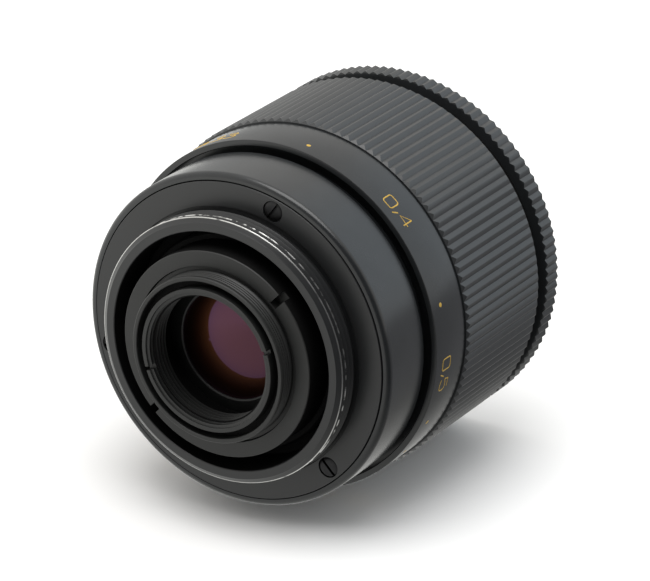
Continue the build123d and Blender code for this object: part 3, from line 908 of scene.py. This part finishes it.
# %% Numeral strokes
ROUND = "NURBS"
STRAIGHT = "POLY"
numeral_strokes = {
    "0": [
        (
            ROUND,
            True,
            [(0, 0), (0, 0.5), (0, 1), (0.36, 1), (0.72, 1), (0.72, 0.5), (0.72, 0), (0.36, 0)],
        )
    ],
    "1": [(STRAIGHT, False, [(0.12, 0.75), (0.4, 1), (0.4, 0)])],
    "2": [
        (ROUND, False, [(0, 0.8), (0.05, 1.03), (0.68, 1.05), (0.68, 0.6), (0.2, 0.35), (0, 0)]),
        (STRAIGHT, False, [(0, 0), (0.7, 0)]),
    ],
    "3": [
        (ROUND, False, [(0, 0.9), (0.1, 1.03), (0.66, 1.04), (0.66, 0.54), (0.25, 0.54)]),
        (ROUND, False, [(0.25, 0.54), (0.74, 0.54), (0.74, -0.03), (0.1, -0.03), (0, 0.12)]),
    ],
    "4": [
        (STRAIGHT, False, [(0.58, 1), (0, 0.3), (0.76, 0.3)]),
        (STRAIGHT, False, [(0.58, 0), (0.58, 1)]),
    ],
    "5": [
        (STRAIGHT, False, [(0.64, 1), (0.1, 1), (0.03, 0.56)]),
        (
            ROUND,
            False,
            [(0.03, 0.56), (0.2, 0.68), (0.72, 0.68), (0.72, -0.02), (0.15, -0.02), (0, 0.12)],
        ),
    ],
    "7": [(STRAIGHT, False, [(0, 1), (0.68, 1), (0.24, 0)])],
    "~": [
        (
            ROUND,
            True,
            [
                (0, 0.2),
                (0, 0.8),
                (0.4, 0.8),
                (0.8, 0.2),
                (1.2, 0.2),
                (1.2, 0.8),
                (0.8, 0.8),
                (0.4, 0.2),
            ],
        )
    ],
    ",": [(STRAIGHT, False, [(0.18, 0.3), (-0.03, -0.15)])],
}
numeral_width = {"1": 0.55, ",": 0.16, "~": 1.2}
numeral_height = 2.25
stretch = 1.18
stroke_radius = 0.15
stroke_sink = 0.1


def on_band(radius, angle, foot_y, across_mm, up_mm):
    """A point of the lettering, on a cylinder about the axis."""
    x, z = polar(radius - stroke_sink, angle - math.degrees(across_mm / radius))
    return x * MM, (foot_y + up_mm) * MM, z * MM


def engrave(name, strokes):
    """Paint tubes along strokes, each (kind, cyclic, points in metres), made into one mesh."""
    deselect()
    bpy.ops.curve.primitive_nurbs_path_add()
    path = bpy.context.object
    path.data.splines.clear()
    for kind, cyclic, points in strokes:
        spline = path.data.splines.new(kind)
        spline.points.add(len(points) - 1)
        for point, place in zip(spline.points, points):
            point.co = (*place, 1.0)
        spline.use_cyclic_u = cyclic
        if kind == ROUND:
            spline.use_endpoint_u = not cyclic
            spline.order_u = 3
            spline.resolution_u = 6
    path.data.bevel_depth = stroke_radius * MM
    path.data.bevel_resolution = 2
    path.data.use_fill_caps = True
    bpy.ops.object.convert(target="MESH")
    mark = bpy.context.object
    apply_place(mark, name)
    bpy.ops.object.shade_smooth_by_angle(angle=math.radians(40))
    return mark


def word_strokes(word, radius, angle, foot_y, height, gap=0.22):
    widths = [numeral_width.get(sign, 0.72) for sign in word]
    total = sum(widths) + gap * (len(word) - 1)
    start = -total / 2
    strokes = []
    for sign, width in zip(word, widths):
        for kind, cyclic, points in numeral_strokes[sign]:
            placed = [
                on_band(radius, angle, foot_y, (start + u) * height * stretch, v * height)
                for u, v in points
            ]
            strokes.append((kind, cyclic, placed))
        start += width + gap
    return strokes


# %% Engrave the distances
focal_length = 50.0
degrees_per_mm = 24.64
infinity_angle = -165.2


def mark_angle(distance_mm):
    conjugates = distance_mm - 2 * focal_length
    extension = (conjugates - math.sqrt(conjugates**2 - 4 * focal_length**2)) / 2
    return infinity_angle + degrees_per_mm * extension


numeral_foot = 13.2
distances = {"2": 2000, "1": 1000, "0,7": 700, "0,5": 500, "0,4": 400, "0,33": 330, "0,3": 300}
strokes = word_strokes("~", scale_radius, infinity_angle, numeral_foot, numeral_height * 0.9)
for word, distance in distances.items():
    strokes += word_strokes(word, scale_radius, mark_angle(distance), numeral_foot, numeral_height)
numerals = engrave("distance_numerals", strokes)
dress(numerals, "focusing_ring", yellow_enamel, "black_anodised")

# %% [markdown]
# Distances between the numerals are marked by dots. A dot is a drilled dimple full of
# enamel: a small sunk disc with a rounded edge that stands a hair above the band.

# %% Make the dots
dot_y = 13.65
dot_radius = 0.36
dot_depth = 0.24
dot_sink = 0.1
for number, distance in enumerate((5000, 1500, 800, 600, 550, 450, 360)):
    deselect()
    angle = mark_angle(distance)
    x, z = polar(scale_radius - dot_sink, angle)
    bpy.ops.mesh.primitive_cylinder_add(
        vertices=24,
        radius=dot_radius * MM,
        depth=dot_depth * MM,
        location=(x * MM, dot_y * MM, z * MM),
        rotation=(0.0, math.pi / 2 - math.radians(angle), 0.0),
    )
    dot = bpy.context.object
    apply_place(dot, f"distance_dot_{number + 1}")
    break_edges(dot, 0.05, 60)
    bpy.ops.object.shade_smooth_by_angle(angle=math.radians(30))
    dress(dot, "focusing_ring", yellow_enamel, "black_anodised")

# %% [markdown]
# ## Index on the fixed barrel
# A line on the fixed barrel is read against the distances. Shorter lines on both sides
# show how much is sharp at a small aperture.

# %% Engrave the index
def index_line(aside_mm, foot_y, length_mm):
    low, high = [
        on_band(barrel_radius, infinity_angle, foot_y, aside_mm, up) for up in (0.0, length_mm)
    ]
    return STRAIGHT, False, [low, high]


strokes = [index_line(0.0, 5.6, 4.1)]
for aside in (2.4, 4.6):
    for side in (-1, 1):
        strokes.append(index_line(side * aside, 7.6, 2.1))
index = engrave("focus_index", strokes)
dress(index, "mount_barrel", yellow_enamel, "black_anodised")

# %% [markdown]
# ## Floor, light and camera
# The lens rests on a plain pale floor inside a white tent, with one large lamp above. Black
# satin metal is drawn by what it reflects, so the tent is cooler behind on the right, a
# little dimmer low on the left and dark on the viewer's right. In reflections the floor is
# a painted glow, an emission that stands in for the lit floor and fades to the right as a
# painted shadow of the lens; seen directly it is plain card.

# %% Set the stage
CAD_LOW, CAD_HIGH = CAD_BOX
floor_z = CAD_LOW[2]
deselect()
bpy.ops.mesh.primitive_plane_add(size=6.0, location=(0.0, 0.0, floor_z - 0.0002))
floor = bpy.context.object
floor.name = "studio_floor"
material, tree, place = new_material("pale_card_painted_glow")
paper = noise(tree, place, 40, 2.0)
card = add(
    tree,
    "ShaderNodeBsdfPrincipled",
    {
        "Base Color": mix_colour(tree, paper, linear("#f6f6f6"), linear("#fbfbfb")),
        "Roughness": 0.8,
    },
)
# Painted light and shadow: for reflections the floor glows, bright on the left and fading to a
# painted shadow of the lens on the right; camera rays see the plain card.
spread = add(tree, "ShaderNodeSeparateXYZ", {"Vector": place})
painted_floor_light = add(tree, "ShaderNodeValToRGB", {"Fac": above(tree, spread.outputs["X"], -90, 60)})
ramp = painted_floor_light.color_ramp.elements
for spot, level in ((0.36, 0.72), (0.71, 0.6), (0.85, 0.28)):
    ramp.new(spot).color = (level, level, level * 0.97, 1.0)
ramp[0].color = (1.0, 1.0, 0.96, 1.0)
ramp[-1].color = (0.3, 0.3, 0.31, 1.0)
to_right = above(tree, spread.outputs["X"], 30, 70)
to_viewer = above(tree, spread.outputs["Y"], 20, -20)
floor_glow = 1.4
painted_shadow_level = 0.2
corner = product(tree, to_right, to_viewer)
painted_light_strength = map_range(tree, corner, {"To Min": floor_glow, "To Max": painted_shadow_level})
glow = add(tree, "ShaderNodeEmission", {"Color": painted_floor_light.outputs["Color"], "Strength": painted_light_strength})
ray = add(tree, "ShaderNodeLightPath")
direct = ray.outputs["Is Camera Ray"]
finish_material(tree, mix_shader(tree, direct, glow.outputs["Emission"], card.outputs["BSDF"]))
floor.data.materials.append(material)

world = bpy.data.worlds.new("white_tent")
bpy.context.scene.world = world
world.use_nodes = True
world.node_tree.nodes.clear()


def toward(tree, direction, lobe, start, end):
    """1 in a lobe of the sky round a direction, 0 away from it; start and end are cosines."""
    along = add(tree, "ShaderNodeVectorMath", {0: direction, 1: lobe}, operation="DOT_PRODUCT")
    return map_range(tree, along.outputs["Value"], {"From Min": start, "From Max": end})


tree = world.node_tree
sky = add(tree, "ShaderNodeTexCoord").outputs["Generated"]
tent = (1.12, 1.1, 1.06, 1.0)
for lobe, start, end, colour in (
    ((0.47, 0.79, 0.4), 0.75, 0.98, (1.12, 1.22, 1.3, 1.0)),
    ((-0.6, 0.79, 0.1), 0.93, 0.99, (0.8, 0.8, 0.78, 1.0)),
    ((0.5, -0.8, 0.33), 0.5, 0.9, (0.04, 0.04, 0.045, 1.0)),
):
    tent = mix_colour(tree, toward(tree, sky, lobe, start, end), tent, colour)
shell = add(tree, "ShaderNodeBackground", {"Color": tent, "Strength": 1.0})
add(tree, "ShaderNodeOutputWorld", {"Surface": shell.outputs["Background"]})


def soft_lamp(name, azimuth, elevation, distance, size, watts, colour):
    """A square lamp on a sphere about the lens, aimed at its middle."""
    lamp = bpy.data.lights.new(name, "AREA")
    lamp.shape = "SQUARE"
    lamp.size = size
    lamp.energy = watts
    lamp.color = linear(colour)[:3]
    holder = bpy.data.objects.new(name, lamp)
    bpy.context.scene.collection.objects.link(holder)
    turn, rise = math.radians(azimuth), math.radians(elevation)
    holder.location = (
        distance * math.sin(turn) * math.cos(rise),
        0.02 - distance * math.cos(turn) * math.cos(rise),
        distance * math.sin(rise),
    )
    holder.rotation_euler = (math.pi / 2 - rise, 0.0, turn)
    return holder


soft_lamp("lamp_above", 20.0, 75.0, 0.9, 0.7, 6.0, "#ffffff")

# %% Place the camera
aim = (12.0 * MM, 7.04 * MM, 6.89 * MM)
camera_azimuth = math.radians(31.44)
camera_elevation = math.radians(23.015)
camera_distance = 618.6 * MM
camera_data = bpy.data.cameras.new("camera")
camera_data.sensor_width = 36.0
camera_data.lens = 231.2
camera_data.shift_x = -0.0074
camera_data.shift_y = 0.0144
camera_data.clip_start = 0.01
camera = bpy.data.objects.new("camera", camera_data)
bpy.context.scene.collection.objects.link(camera)
camera.location = (
    aim[0] + camera_distance * math.sin(camera_azimuth) * math.cos(camera_elevation),
    aim[1] - camera_distance * math.cos(camera_azimuth) * math.cos(camera_elevation),
    aim[2] + camera_distance * math.sin(camera_elevation),
)
camera.rotation_euler = (math.pi / 2 - camera_elevation, 0.0, camera_azimuth)
bpy.context.scene.camera = camera
bpy.context.scene.view_settings.view_transform = "Standard"
print("camera", [round(c, 3) for c in camera.location])
